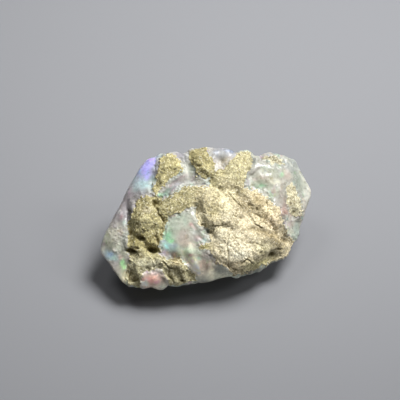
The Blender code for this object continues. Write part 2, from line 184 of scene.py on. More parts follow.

# Milky opal: washes of body colour in each of its windows, laid in this order. Each window has the strength
# of the light on it, and its washes, as (u, v, half length, half width, turn in degrees, sRGB colour,
# strength), have the tint that they show in that light. Each tint is divided by that strength, which paints
# light and shade into the body colour: dim windows such as the feet, toes and bottom rim get a lighter
# colour to make up for their shade, and bright ones such as the top rim a darker one.
OPAL_GROUND = (176, 178, 164)
OPAL_COOL = (152, 178, 172)
OPAL_WARM = (188, 172, 172)
OPAL_WASHES = {
    "left_flank": (1.00, [
        (-12.6, 4.0, 2.8, 7.0, -32, (157, 151, 153), 0.95),
        (-14.4, 0.8, 2.0, 2.0, -30, (152, 146, 148), 0.9),
        (-11.4, 6.4, 0.8, 1.0, 0, (150, 160, 166), 0.7),
    ]),
    "flank_edge": (0.62, [
        (-14.9, 1.75, 3.6, 0.38, 64, (156, 151, 152), 0.85),
    ]),
    "flank_by_the_crust": (1.40, [
        (-11.0, 4.4, 0.9, 1.4, -20, (154, 150, 148), 0.85),
    ]),
    "flank_top": (0.88, [
        (-9.7, 8.4, 1.0, 2.0, -20, (174, 170, 230), 1.0),
        (-10.2, 5.9, 1.6, 1.0, 10, (164, 188, 188), 0.9),
    ]),
    "tip_top": (1.15, [
        (-15.2, -3.0, 1.9, 2.2, -20, (176, 173, 155), 0.9),
    ]),
    "left_tip": (0.84, [
        (-15.6, -4.6, 1.0, 0.7, -30, (158, 162, 142), 0.7),
        (-14.4, -4.8, 0.8, 0.6, 0, (184, 188, 170), 0.8),
        (-16.3, -3.2, 0.9, 1.1, 10, (178, 179, 162), 0.8),
    ]),
    "tip_middle": (1.05, [
        (-13.6, -5.6, 0.8, 0.8, 0, (150, 152, 130), 0.8),
        (-13.6, -7.6, 0.7, 1.0, 15, (164, 190, 150), 0.8),
    ]),
    "tip_foot": (0.52, [
        (-15.8, -6.0, 1.2, 0.6, -30, (150, 170, 172), 0.9),
    ]),
    "tip_toe": (0.42, [
        (-13.2, -9.4, 0.9, 1.4, 0, (150, 144, 120), 0.9),
    ]),
    "middle_window": (1.28, [
        (-4.0, -2.6, 4.4, 3.8, 20, (188, 196, 176), 0.9),
        (-4.6, -0.2, 1.5, 0.7, 10, (196, 204, 184), 0.8),
    ]),
    "middle_window_left": (1.03, [
        (-6.6, -2.9, 0.8, 1.4, -10, (158, 200, 166), 0.9),
        (-3.0, -4.0, 1.5, 0.6, -10, (226, 210, 190), 0.9),
    ]),
    "middle_window_heart": (1.55, [
        (-3.6, -2.8, 1.0, 1.6, 0, (196, 184, 170), 0.9),
    ]),
    "middle_window_right": (2.80, [
        (-1.2, -2.6, 1.0, 1.4, 0, (188, 186, 166), 0.9),
        (-1.5, -3.2, 0.9, 0.8, 0, (204, 182, 168), 0.8),
        (-1.6, -2.1, 1.2, 0.5, -20, (178, 184, 164), 0.7),
    ]),
    "middle_foot": (0.56, [
        (-6.0, -4.6, 1.5, 0.7, -10, (150, 172, 166), 0.9),
        (-3.0, -5.2, 1.2, 0.5, 0, (184, 196, 170), 0.9),
        (-6.9, -5.6, 1.1, 0.6, 0, (180, 172, 172), 0.9),
        (-5.3, -5.9, 0.4, 0.6, -10, (170, 146, 134), 0.8),
    ]),
    "middle_toe": (0.35, [
        (-3.9, -5.7, 0.7, 0.7, 0, (160, 168, 142), 0.9),
    ]),
    "lower_window": (1.30, [
        (-0.6, -7.6, 1.9, 1.4, -10, (180, 162, 146), 0.95),
        # Painted shadow: a dark grey band under the crust along the top of this window
        (0.0, -6.4, 1.6, 0.35, -8, (140, 136, 128), 0.9),
    ]),
    "lower_foot": (0.30, [
        (-1.5, -8.3, 1.0, 0.8, -30, (176, 166, 148), 0.9),
        (-3.3, -6.8, 0.8, 0.9, 0, (146, 146, 134), 0.9),
        (-1.9, -7.3, 0.5, 1.1, 10, (166, 168, 148), 0.9),
        (0.9, -8.8, 0.6, 1.0, 0, (164, 158, 138), 0.8),
        (2.8, -9.2, 2.2, 0.6, 0, (136, 136, 121), 0.9),
    ]),
    # Painted shade: a dark brown strip along the lower rim, where the front's lower edge is shaded
    "right_rim_foot": (0.60, [
        (7.4, -8.8, 1.6, 0.4, 22, (98, 89, 73), 0.8),
    ]),
    "bottom_window": (0.54, [
        (-9.0, -10.0, 2.2, 1.2, -3, (168, 162, 144), 0.95),
        (-8.9, -10.0, 1.6, 0.9, -3, (196, 150, 139), 0.95),
        (-9.2, -8.9, 1.3, 0.3, 0, (166, 148, 148), 0.8),
    ]),
    "bottom_rim": (0.26, [
        (-10.2, -10.6, 0.8, 0.6, 0, (174, 157, 144), 0.9),
        (-7.4, -10.9, 1.0, 0.5, 10, (160, 152, 136), 0.8),
    ]),
    "bottom_ledge": (1.55, [
        (-6.8, -9.4, 0.6, 0.8, 0, (156, 146, 128), 0.9),
    ]),
    "canyon_groove": (0.80, [
        (-3.0, 8.6, 0.8, 2.4, 0, (176, 178, 166), 0.9),
        (-2.6, 8.6, 0.3, 1.6, 10, (156, 162, 148), 0.7),
    ]),
    "canyon_top": (1.75, [
        (-3.6, 10.2, 1.0, 1.0, -20, (180, 180, 176), 0.9),
        (-4.6, 10.6, 1.0, 0.7, -30, (184, 180, 194), 0.8),
    ]),
    "canyon_mouth": (1.30, [
        (-3.0, 6.4, 1.8, 0.9, 10, (192, 188, 180), 0.8),
        (-2.4, 6.1, 0.8, 0.5, 0, (200, 204, 198), 0.8),
        (-1.2, 5.9, 0.7, 0.7, 0, (208, 204, 190), 0.8),
        (0.2, 5.0, 0.4, 0.7, -20, (188, 176, 176), 0.8),
    ]),
    "upper_canyon": (0.86, [
        (-4.0, 6.9, 1.0, 0.35, 30, (168, 154, 152), 0.8),
        (-5.4, 6.0, 1.3, 0.35, 40, (156, 144, 144), 0.8),
        (-5.0, 5.5, 0.9, 0.35, 30, (186, 178, 186), 0.8),
    ]),
    "canyon_foot": (1.95, [
        (-5.9, 4.8, 1.4, 0.40, 35, (152, 160, 152), 0.9),
        (-6.6, 4.6, 0.6, 0.4, 30, (160, 184, 166), 0.8),
    ]),
    "top_rim": (2.85, [
        (3.0, 11.0, 2.8, 1.0, 0, (200, 206, 214), 0.9),
    ]),
    "top_rim_hollow": (1.25, [
        (2.6, 10.8, 0.8, 0.8, 0, (206, 206, 204), 0.9),
    ]),
    "top_rim_foot": (1.60, [
        (3.3, 9.4, 1.0, 0.8, 0, (216, 207, 180), 0.8),
    ]),
    "right_window": (1.88, [
        (12.8, 6.5, 4.8, 5.2, 0, (206, 208, 190), 0.95),
        (14.2, 8.8, 1.8, 1.6, 0, (198, 204, 198), 0.9),
        (10.3, 7.8, 1.4, 0.9, -20, (192, 196, 172), 0.9),
        (9.8, 6.9, 1.5, 0.6, -5, (226, 217, 194), 0.8),
        (15.2, 6.0, 0.8, 1.6, -15, (194, 204, 188), 0.8),
        (13.3, 7.3, 0.7, 0.9, 20, (232, 214, 198), 0.8),
        (12.5, 5.0, 0.6, 1.7, -5, (196, 184, 170), 0.9),
        (12.9, 1.8, 0.6, 1.8, -8, (198, 174, 158), 0.95),
        (16.2, 2.0, 0.5, 1.1, -20, (232, 224, 208), 0.8),
    ]),
    "right_window_foot": (1.55, [
        (8.4, 5.9, 1.6, 0.6, 0, (202, 206, 182), 0.8),
        (11.0, 4.8, 1.3, 0.9, 0, (210, 212, 190), 0.8),
        (11.2, 6.2, 1.2, 0.4, -5, (228, 226, 202), 0.8),
        # Painted glint: a near-white streak on the right rim
        (16.7, 4.0, 0.4, 0.9, -10, (242, 240, 226), 0.9),
    ]),
    "right_window_ridge": (2.65, [
        (8.0, 9.6, 0.6, 0.8, -30, (170, 173, 162), 0.8),
        # Painted shadow: a dark line in the crevice between the top right block and this window
        (8.2, 8.1, 1.5, 0.25, 40, (150, 144, 124), 0.8),
    ]),
    "right_foot": (0.90, [
        (13.9, -0.8, 0.7, 1.2, -15, (188, 178, 166), 0.9),
        (13.6, -2.6, 1.0, 0.9, 0, (186, 186, 166), 0.9),
        (14.6, -4.6, 0.8, 1.2, 0, (176, 172, 150), 0.8),
    ]),
}

# Small bright flashes inside the opal: (light there, u, v, half length, half width, turn in degrees, sRGB
# colour, strength). As with the windows, each colour is divided by the light there, which paints light and
# shade into it.
FLASHES = [
    (0.80, -9.8, 7.0, 0.45, 0.25, 0, (194, 188, 250), 0.8),
    (0.80, -8.7, 9.5, 0.25, 0.35, 0, (178, 172, 248), 0.8),
    (0.80, -9.6, 8.5, 0.40, 0.40, 0, (180, 176, 240), 0.6),
    # Painted highlight: a pale cyan-white spot on the left flank's top
    (0.90, -9.1, 6.0, 0.35, 0.20, 20, (212, 226, 226), 0.9),
    (0.90, -9.7, 5.5, 0.40, 0.25, 0, (182, 212, 210), 0.7),
    (0.90, -8.9, 5.1, 0.25, 0.20, 0, (196, 218, 200), 0.7),
    (0.90, -8.0, 11.2, 0.50, 0.20, 0, (170, 164, 226), 0.6),
    (1.10, -4.3, 11.3, 0.50, 0.20, 0, (178, 174, 224), 0.6),
    # Painted glint: a white spot on the left tip's top
    (0.95, -14.3, 1.0, 0.28, 0.40, 20, (208, 200, 204), 0.9),
    (0.95, -14.0, 0.3, 0.35, 0.28, 0, (180, 152, 154), 0.8),
    (0.95, -13.4, -0.6, 0.30, 0.35, 0, (166, 190, 180), 0.8),
    (1.00, -15.1, -1.2, 0.40, 0.30, 0, (164, 156, 166), 0.6),
    # Painted glint: a white spot low on the left tip
    (0.84, -15.0, -5.0, 0.40, 0.20, 20, (228, 226, 214), 0.9),
    (0.80, -17.0, -5.1, 0.18, 0.45, 10, (210, 210, 194), 0.9),
    (0.54, -15.9, -5.8, 0.45, 0.40, 0, (150, 170, 192), 0.9),
    (0.55, -15.3, -6.4, 0.50, 0.25, -10, (160, 188, 178), 0.8),
    (0.60, -14.2, -6.4, 0.35, 0.25, 0, (190, 168, 158), 0.7),
    (0.78, -13.8, -7.3, 0.30, 0.50, 10, (164, 218, 156), 0.9),
    (0.50, -13.5, -8.0, 0.25, 0.30, 0, (160, 206, 146), 0.7),
    (0.92, -7.4, 3.9, 0.50, 0.34, 15, (156, 216, 166), 0.95),
    (1.20, -6.6, 4.2, 0.35, 0.22, 30, (160, 196, 176), 0.7),
    (1.60, -3.1, 10.6, 0.18, 0.60, 5, (210, 210, 206), 0.8),
    (1.40, -4.4, 9.4, 0.18, 0.70, 10, (222, 214, 188), 0.7),
    (1.00, -2.0, 6.6, 0.20, 0.60, -20, (178, 166, 164), 0.7),
    (0.60, -6.5, -4.7, 0.36, 0.22, -38, (176, 238, 224), 1.0),
    (0.70, -6.2, -4.3, 0.40, 0.25, 0, (146, 178, 176), 0.6),
    (0.75, -6.9, -3.8, 0.34, 0.22, 0, (152, 164, 178), 0.8),
    (0.85, -5.8, -3.6, 0.45, 0.26, 10, (160, 222, 166), 0.95),
    (1.03, -6.6, -3.1, 0.45, 0.30, 40, (152, 206, 166), 0.8),
    (1.03, -7.0, -2.4, 0.25, 0.30, 0, (164, 200, 170), 0.6),
    (0.75, -5.1, -4.4, 0.50, 0.24, 0, (154, 166, 172), 0.7),
    (0.68, -6.9, -5.5, 0.45, 0.30, 0, (180, 166, 186), 0.8),
    (0.55, -5.9, -5.3, 0.30, 0.20, 0, (164, 184, 168), 0.6),
    (1.50, -2.5, -0.9, 0.42, 0.32, -20, (218, 172, 166), 0.95),
    (1.60, -2.0, -1.4, 0.35, 0.18, -10, (230, 204, 192), 0.7),
    (1.45, -3.5, -0.5, 0.28, 0.50, 0, (198, 216, 196), 0.7),
    (1.35, -4.1, 0.4, 0.50, 0.18, 10, (214, 230, 208), 0.8),
    # Painted glint: a whitish pink spot on the middle window's upper rim
    (1.30, -5.7, 0.5, 0.45, 0.20, 10, (240, 218, 208), 0.8),
    (1.40, -4.8, -1.4, 0.50, 0.30, 0, (206, 214, 196), 0.6),
    (1.80, -1.3, -3.2, 0.35, 0.40, 0, (210, 178, 166), 0.7),
    # Painted highlight: a cream-white glow in the middle window
    (1.00, -2.6, -4.5, 0.32, 0.42, 0, (254, 254, 230), 1.0),
    (0.90, -2.0, -5.0, 0.45, 0.20, 0, (224, 230, 206), 0.8),
    (0.60, -4.3, -5.0, 0.35, 0.25, 0, (204, 206, 186), 0.7),
    (1.15, -2.4, -5.9, 0.34, 0.25, -10, (196, 146, 140), 0.9),
    (0.60, -1.2, -6.4, 0.35, 0.22, 0, (130, 160, 142), 0.9),
    # Painted glint: a white spot in the lower window
    (0.40, -1.3, -8.9, 0.20, 0.20, 0, (240, 230, 216), 0.9),
    (0.70, -0.9, -7.6, 0.12, 0.45, 5, (196, 172, 158), 0.7),
    (0.75, -0.1, -7.5, 0.10, 0.50, 20, (134, 116, 100), 0.8),
    (0.35, -2.6, -7.7, 0.35, 0.22, 0, (166, 158, 164), 0.7),
    (0.90, -7.3, -8.2, 0.35, 0.16, -35, (240, 232, 214), 0.9),
    (0.50, -9.0, -10.1, 0.60, 0.35, 0, (204, 146, 136), 0.4),
    (1.88, 12.7, 7.5, 0.40, 0.36, 0, (188, 230, 180), 0.9),
    (1.55, 9.3, 5.6, 0.50, 0.26, 10, (164, 210, 168), 0.9),
    (1.55, 8.4, 5.4, 0.40, 0.22, 0, (184, 210, 180), 0.6),
    (1.55, 10.6, 5.2, 0.50, 0.18, 0, (222, 230, 208), 0.7),
    (1.88, 10.2, 8.6, 0.50, 0.24, -25, (236, 242, 228), 0.6),
    (1.88, 9.4, 7.0, 0.45, 0.34, 0, (246, 232, 216), 0.8),
    (1.60, 11.2, 6.1, 0.50, 0.20, 0, (246, 244, 218), 0.8),
    (1.70, 8.0, 6.7, 0.40, 0.22, 0, (234, 218, 208), 0.7),
    (1.88, 12.3, 5.2, 0.10, 0.90, 0, (222, 208, 196), 0.6),
    (1.50, 13.0, 1.2, 0.40, 0.60, 0, (200, 164, 152), 0.7),
    (2.20, 4.3, 11.3, 1.2, 0.25, 0, (190, 206, 236), 0.8),
    (2.30, 1.6, 11.0, 0.4, 0.25, 0, (198, 208, 226), 0.7),
    # Painted glints: thin white lines along the right rim
    (1.60, 13.9, 9.4, 1.20, 0.13, -37, (238, 238, 224), 0.9),
    (1.60, 16.0, 7.0, 1.30, 0.13, -50, (240, 240, 226), 0.9),
    (1.60, 17.2, 5.0, 0.90, 0.13, -62, (244, 242, 228), 0.9),
]

# Flashes on the sides and back, which the photo doesn't show: (x, y, z, radius, sRGB colour)
FLASHES_BEHIND = [
    (-12.5, 6.5, 8.0, 2.4, (166, 162, 220)),
    (-14.5, 1.5, 4.5, 2.0, (160, 190, 192)),
    (-2.0, 10.0, 7.0, 2.2, (152, 204, 174)),
    (4.5, 10.5, 9.5, 1.8, (206, 170, 162)),
    (0.5, 9.0, 3.0, 2.0, (166, 178, 206)),
    (13.0, 7.5, 8.0, 2.2, (158, 202, 180)),
    (16.0, 2.0, 6.0, 1.8, (204, 176, 166)),
    (12.0, 6.0, 3.0, 1.8, (168, 166, 208)),
    (-9.0, -9.5, 2.0, 1.6, (158, 194, 186)),
    (9.0, -6.5, 2.0, 1.6, (200, 174, 168)),
]
BEHIND_STRENGTH = 0.6

# What frosted opal keeps of its own colour's mean, in red, green and blue
FROST_GREY = (1.14, 1.09, 0.96)

# Whitish grainy patches on the opal: (u, v, half length, half width, turn in degrees, strength)
DUSTY_PLACES = [
    (9.8, 7.0, 2.2, 0.9, -8, 0.5),
    (-15.0, -2.4, 1.8, 1.5, -20, 1.0),
    (-14.7, -5.2, 1.0, 2.0, -10, 0.8),
    (-2.4, 0.6, 1.6, 0.6, -30, 0.9),
    (-0.9, -4.6, 0.8, 0.9, 0, 0.8),
    (-3.9, 9.2, 0.3, 1.5, 5, 0.8),
    (-4.6, 7.4, 0.8, 1.4, 10, 0.5),
    (-1.6, 5.9, 1.6, 0.6, -5, 0.6),
    (-8.6, -8.4, 2.4, 0.5, 5, 0.9),
    (14.2, -3.4, 1.2, 1.9, 20, 0.9),
    (2.4, -8.6, 2.0, 0.8, 0, 0.8),
]

# Broad boulders of the crust: (u, v, half length, half width, turn in degrees, height)
BOULDERS = [
    (2.5, -2.7, 1.6, 1.1, 0, 0.25),
    (3.2, -4.8, 1.2, 1.2, 0, 0.25),
    (5.9, -4.3, 1.8, 1.7, 0, 0.25),
    (11.0, -0.3, 1.3, 1.5, 0, 0.25),
    (9.7, -5.2, 1.4, 1.0, 20, 0.45),
    (4.5, 2.0, 1.2, 1.6, 0, 0.20),
    (6.4, -7.4, 1.8, 0.8, 10, 0.35),
]

# Pits finer than the solid's: (u, v, half length, half width, turn in degrees, depth)
PITS = [
    (-10.8, -3.2, 0.60, 0.26, -25, 0.6),
    (-9.0, -5.0, 0.95, 0.32, -18, 0.40),
    (-8.0, -3.5, 0.34, 0.55, 10, 0.6),
    (-12.5, -5.3, 0.90, 0.22, -8, 0.8),
    (-11.5, -4.8, 0.45, 0.22, 0, 0.4),
    (-8.4, -2.8, 0.35, 0.20, -20, 0.3),
    (-9.9, -4.1, 0.50, 0.20, -30, 0.3),
    (-12.7, -2.2, 0.30, 0.50, 10, 0.6),
    (-12.8, 1.3, 0.50, 0.26, -25, 0.5),
    (-8.3, 2.8, 0.60, 0.28, -10, 0.5),
    (2.5, 9.9, 0.14, 0.40, 10, 0.12),
    (-1.2, 8.8, 0.36, 0.18, 0, 0.35),
    (11.0, -5.8, 0.40, 0.30, 10, 0.8),
    (12.2, -5.0, 0.50, 0.16, 0, 0.4),
    (-12.5, -9.5, 0.25, 0.95, 15, 0.35),
    (-11.7, -10.0, 0.40, 0.25, 0, 0.4),
    (-5.8, -9.7, 0.20, 0.60, 35, 0.5),
    (-3.8, -10.3, 0.60, 0.20, -20, 0.5),
    (-8.6, -6.5, 0.20, 0.60, 25, 0.3),
    (7.5, 8.4, 0.20, 0.60, -20, 0.2),
    (9.0, -5.6, 0.25, 0.20, 0, 0.3),
]

# Cracks finer than the solid's: (half width, depth, line as (u, v))
CRACKS = [
    (0.09, 0.22, [(-1.7, 2.3), (-1.5, 0.7), (-0.7, -0.8), (0.2, -1.5)]),
    (0.09, 0.20, [(0.2, -1.5), (1.2, -1.3), (2.2, -1.15), (3.3, -1.0)]),
    (0.09, 0.25, [(3.7, -2.6), (3.5, -4.5), (3.6, -6.0), (3.8, -8.2)]),
    (0.12, 0.30, [(3.7, 4.6), (4.7, 3.2), (5.8, 2.2)]),
    (0.09, 0.22, [(7.2, 0.8), (8.0, -0.5)]),
    (0.10, 0.30, [(8.0, -0.8), (9.3, -1.5)]),
    (0.30, 0.25, [(7.3, -1.7), (9.3, -2.0), (11.5, -2.6), (13.2, -3.7)]),
    (0.09, 0.25, [(10.2, 2.7), (10.3, 1.5), (10.0, 0.3), (9.5, -0.3), (10.2, -1.0), (10.7, -1.6)]),
    (0.09, 0.25, [(8.2, 0.9), (9.4, 0.3)]),
    (0.09, 0.30, [(5.7, -7.2), (6.8, -6.6), (7.7, -7.2)]),
    (0.10, 0.30, [(4.3, -8.0), (5.3, -8.5)]),
    (0.09, 0.20, [(6.5, -4.0), (8.2, -4.0), (9.3, -4.4), (9.8, -6.2)]),
    (0.12, 0.45, [(-8.5, 2.6), (-8.0, 1.0), (-6.9, -0.4)]),
    (0.10, 0.06, [(0.3, 7.0), (1.0, 5.6), (2.8, 4.8), (3.2, 3.6)]),
    (0.14, 0.35, [(-7.3, -6.9), (-6.2, -8.1), (-4.9, -8.4)]),
    (0.12, 0.35, [(-4.7, -8.2), (-3.9, -10.2)]),
    (0.11, 0.30, [(-3.1, -7.8), (-2.0, -9.2)]),
    (0.11, 0.28, [(13.4, 2.2), (14.0, 0.6), (14.3, -1.6)]),
    (0.09, 0.20, [(5.2, 9.0), (5.8, 7.2), (5.4, 5.6)]),
]

# Camera: far off behind a long lens, so that near and far parts keep their sizes
IMAGE_WIDTH_MM = 66.7
CAMERA_DISTANCE = 0.7
SENSOR_WIDTH_MM = 36
AIM_U, AIM_V = -1.0, 3.17

# Area lights, in metres and watts: (name, place, size, power, spread in degrees, target)
MIDDLE = (0, 0, 0.006)
LIGHTS = [
    ("key_light", (0.111, 0.100, 0.260), 0.16, 0.288, 66, (-0.004, 0.036, 0)),
    ("side_light", (0.230, 0.0, 0.193), 0.08, 0.18, 180, MIDDLE),
    ("back_light", (-0.106, 0.106, 0.260), 0.12, 0.19, 180, MIDDLE),
    ("front_fill", (-0.02, -0.25, 0.035), 0.07, 0.080, 180, MIDDLE),
]
WORLD_COLOUR = (0.96, 0.97, 1.0, 1)
WORLD_STRENGTH = 0.07

FLOOR_SIZE = 4.0
FLOOR_TINT = (119, 120, 123)
FLOOR_ROUGHNESS = 0.9

# Shader tints in sRGB, and pattern scales in cells to a metre
OLIVE_GRAIN = (112, 100, 58)
PALE_GRAIN = (250, 244, 222)
# Painted shade: the colours that pits, cracks, holes and grain gaps are darkened towards
CRUST_SHADE_TINT = (98, 86, 48)
OPAL_SHADE_TINT = (104, 98, 78)
SAND_SCALE = 7000
FIRE_SCALE = 1500


def linear(rgb):
    """An sRGB colour, 0 to 255, as linear light."""
    share = np.array(rgb, float) / 255
    return np.where(share <= 0.04045, share / 12.92, ((share + 0.055) / 1.055) ** 2.4)


def rgba(rgb):
    """An sRGB colour, 0 to 255, as a shader socket takes it."""
    return (*linear(rgb), 1)


def smooth_step(values, low, high):
    """0 up to low, 1 from high, and an even rise between."""
    part = np.clip((values - low) / (high - low), 0, 1)
    return part * part * (3 - 2 * part)


def noise_field(points, cell, seed):
    """Smooth noise from -1 to 1 whose lumps are about one cell across."""
    shift = Vector((seed * 17.3, seed * 5.1, seed * 9.7))
    return np.array([noise.noise(Vector(point) / cell + shift) for point in points])


def grain_field(points, cell, seed):
    """Packed grains about one cell across: how far from the next one, their dome, and a number for each."""
    shift = Vector((seed * 3.7, seed * 11.9, seed * 7.3))
    rows = np.empty((len(points), 3))
    for index, point in enumerate(points):
        distances, centres = noise.voronoi(Vector(point) / cell + shift)
        rows[index] = distances[1] - distances[0], distances[0], noise.cell(centres[0] * 9.1)
    return rows[:, 0], 1 - np.clip(rows[:, 1] / 0.8, 0, 1) ** 2, rows[:, 2]


def shard_field(points, cell, seed):
    """Broken blocks about one cell across: tilted flat tops with a step from each to the next, -1 to 1."""
    shift = Vector((seed * 5.3, seed * 2.9, seed * 8.1))
    height = np.empty(len(points))
    for index, point in enumerate(points):
        place = Vector(point) / cell + shift
        centre = noise.voronoi(place)[1][0]
        lean = noise.noise_vector(centre * 3.1)
        height[index] = 0.6 * noise.noise(centre * 5.7) + 0.9 * (place - centre).dot(lean)
    return height


def layered(field, points, layers, start=0.0):
    """A field's layers, each as (height, cell, seed), added up from a start."""
    return sum((height * field(points, cell, seed) for height, cell, seed in layers), start)


def wobble(points, cell, size, seeds):
    """A smooth shift for each point, with one seed for each direction."""
    return np.column_stack([noise_field(points, cell, seed) for seed in seeds]) * size


def line_distance(points, start, end):
    along = end - start
    offset = points - start
    place = np.clip(offset @ along / (along @ along), 0, 1)
    return np.linalg.norm(offset - place[:, None] * along, axis=1)


def depth_inside(points, outline):
    """How far each point lies inside a closed outline; negative outside it."""
    corners = np.array(outline)
    inside = np.zeros(len(points), bool)
    nearest = np.full(len(points), np.inf)
    for start, end in zip(corners, np.roll(corners, -1, axis=0)):
        nearest = np.minimum(nearest, line_distance(points, start, end))
        if start[1] != end[1]:
            between = (start[1] > points[:, 1]) != (end[1] > points[:, 1])
            slope = (end[0] - start[0]) / (end[1] - start[1])
            inside ^= between & (points[:, 0] < start[0] + (points[:, 1] - start[1]) * slope)
    return np.where(inside, nearest, -nearest)


def on_face(points):
    """Places on the show face's plane, as (u, v)."""
    offset = points - np.array(FACE_CENTRE)
    return np.column_stack([offset @ np.array(FACE_U), offset @ np.array(FACE_V)])


def blob(places, u, v, half_length, half_width, turn):
    """1 in the middle of a soft oval on the show face, falling to 0 around it."""
    angle = radians(turn)
    offset = places - np.array((u, v))
    along = offset @ np.array((cos(angle), sin(angle))) / half_length
    across = offset @ np.array((-sin(angle), cos(angle))) / half_width
    return np.exp(-(along**2 + across**2))


def read_vectors(items, name):
    rows = np.empty(len(items) * 3)
    items.foreach_get(name, rows)
    return rows.reshape(-1, 3)


def baked(stone):
    """Puts the shape that the modifiers give into the object's own mesh."""
    graph = bpy.context.evaluated_depsgraph_get()
    mesh = bpy.data.meshes.new_from_object(stone.evaluated_get(graph))
    stone.modifiers.clear()
    stone.data = mesh


def fine_copy():
    """The solid's shape on an even fine grid, with its facets blurred away."""
    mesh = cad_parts[NODE].data.copy()
    mesh.materials.clear()
    mesh.transform(Matrix.Scale(1 / MM, 4))
    stone = bpy.data.objects.new("rough_opal_stone", mesh)
    bpy.context.scene.collection.objects.link(stone)
    remesh = stone.modifiers.new("fine_grid", "REMESH")
    remesh.mode = "VOXEL"
    remesh.voxel_size = VOXEL
    blur = stone.modifiers.new("facet_blur", "SMOOTH")
    blur.factor = 0.5
    blur.iterations = FACET_BLUR_STEPS
    baked(stone)
    return stone


class Layout:
    """What lies where on the stone, for every point of its fine grid."""

    def __init__(self, points, normals):
        self.points = points
        self.front = smooth_step(normals @ np.array(FACE_OUT), -0.15, 0.1)
        seen = self.front > 0.5
        wide = wobble(points, 1.6, 0.5, (1, 2, 3))
        fine = wobble(points, 0.45, 0.25, (8, 9, 10))
        self.places = on_face(points)
        self.ragged = on_face(points + wide + fine)
        depths = np.array([depth_inside(self.ragged, outline) for _, _, outline in CRUST_ON_FACE.values()])
        face_depth = depths.max(axis=0)
        nearness = np.exp(np.clip(depths, -6, 0) / 0.5)
        self.shares = nearness / nearness.sum(axis=0)
        behind = np.full(len(points), -np.inf)
        for x, y, z, radius in CRUST_BEHIND:
            away = np.linalg.norm(points + 2 * wide + 2 * fine - np.array((x, y, z)), axis=1)
            behind = np.maximum(behind, radius - away)
        self.crust_depth = np.where(seen, face_depth, behind)
        crumbled = self.crust_depth + 0.3 * noise_field(points, 0.4, 11)
        self.crust = smooth_step(crumbled, -0.10, 0.12)
        self.frost = self.frosted()
        self.grain_gap, self.grain_dome, self.grain_number = grain_field(points, GRAIN_CELL, 23)
        coarse = self.shares.T @ np.array([value for _, value, _ in CRUST_ON_FACE.values()])
        self.coarse = np.where(seen, coarse, COARSE_BEHIND)

    def frosted(self):
        """Where the opal is whitish and grainy: along the crust's edge and in a few dusty places."""
        rim = smooth_step(self.crust_depth, -1.1, -0.05)
        patchy = 0.5 + 0.5 * noise_field(self.points, 1.0, 13)
        frost = rim * smooth_step(patchy, 0.25, 0.75)
        speckle = smooth_step(noise_field(self.points, 0.4, 14), -0.2, 0.25)
        for *oval, strength in DUSTY_PLACES:
            frost += strength * self.front * blob(self.places, *oval) * speckle
        return np.clip(frost, 0, 1) * (1 - self.crust)


def sunk_places(layout):
    """How deep the listed pits and cracks go at each point, in millimetres."""
    warped = layout.places + LINE_WOBBLE * (layout.ragged - layout.places)
    sunk = np.zeros(len(warped))
    for *oval, depth in PITS:
        sunk += depth * blob(warped, *oval)
    for half_width, depth, line in CRACKS:
        corners = np.array(line)
        away = np.min([line_distance(warped, a, b) for a, b in zip(corners, corners[1:])], axis=0)
        sunk += depth * np.exp(-((away / half_width) ** 2))
    return sunk * layout.front


def raised_places(layout):
    """How high the listed boulders stand at each point, in millimetres."""
    raised = np.zeros(len(layout.places))
    for *oval, height in BOULDERS:
        raised += height * layout.front * blob(layout.places, *oval)
    return raised


def stone_relief(layout):
    """Height over the solid, in millimetres, and the painted shade on each point, 0 to 1: darker where it
    lies deep in pits, cracks, holes, low places and the gaps between grains.
    """
    points, crust = layout.points, layout.crust
    own_step = CRUST_THICKNESS * smooth_step(layout.crust_depth, -CRUST_EDGE, CRUST_EDGE)
    proud = 0.6 + 0.4 * smooth_step(noise_field(points, 2.6, 20), -0.4, 0.4)
    lumps = layout.coarse * layered(noise_field, points, CRUST_LUMPS)
    blocks = layout.coarse * layered(shard_field, points, CRUST_BLOCKS)
    missing = (layout.grain_number > GRAINS_KEPT).astype(float)
    grains = GRAIN_HEIGHT * layout.grain_dome - LOST_GRAIN_DEPTH * missing
    holes = smooth_step(noise_field(points, 0.6, 25), 0.30, 0.55)
    broken = smooth_step(noise_field(points, 1.2, 26), 0.25, 0.5)
    broken *= smooth_step(noise_field(points, 3.0, 27), -0.1, 0.3)
    sunk = sunk_places(layout)
    edge = 0.45 + 0.55 * smooth_step(layout.crust_depth, 0, 1.4)
    crust_height = CRUST_STEP * proud * edge + lumps + blocks + grains + raised_places(layout)
    crust_height -= layout.coarse * (0.14 * holes + 0.18 * broken)
    opal_height = layered(noise_field, points, OPAL_RELIEF)
    opal_height += layout.frost * (0.10 * layout.grain_dome + 0.06 * noise_field(points, 0.8, 30))
    height = LIFT - own_step + crust * crust_height + (1 - crust) * opal_height - sunk * (0.35 + 0.65 * crust)
    # Painted shade: the colour is darkened in the gaps between grains, lost grains, holes, breaks, low
    # places, pits and cracks, where shade falls
    gaps = 1 - smooth_step(layout.grain_gap, 0.02, 0.22)
    low = smooth_step(-(lumps + blocks), 0.05, 0.35)
    deep = layout.coarse * (0.6 * holes + 0.5 * broken + 0.5 * low)
    painted_shade = crust * (0.35 * gaps + 0.8 * missing + deep) + 1.5 * sunk
    calm = smooth_step(points[:, 2], 0.05, 0.6)
    return height * calm, np.clip(painted_shade, 0, 1) * calm


def lay(colour, share, tint):
    """Lays a linear tint over the colours, by each point's share."""
    colour += share[:, None] * (tint - colour)


def paint(colour, places, layout, light, wash, edge=1.25):
    """Lays one soft oval over the colours, with the tint that it shows in that light: the tint is divided by
    the light there, which paints a lighter colour into dim places and a darker one into bright ones.
    """
    *oval, tint, strength = wash
    share = strength * layout.front * np.clip(edge * blob(places, *oval), 0, 1)
    lay(colour, share, linear(tint) / light)


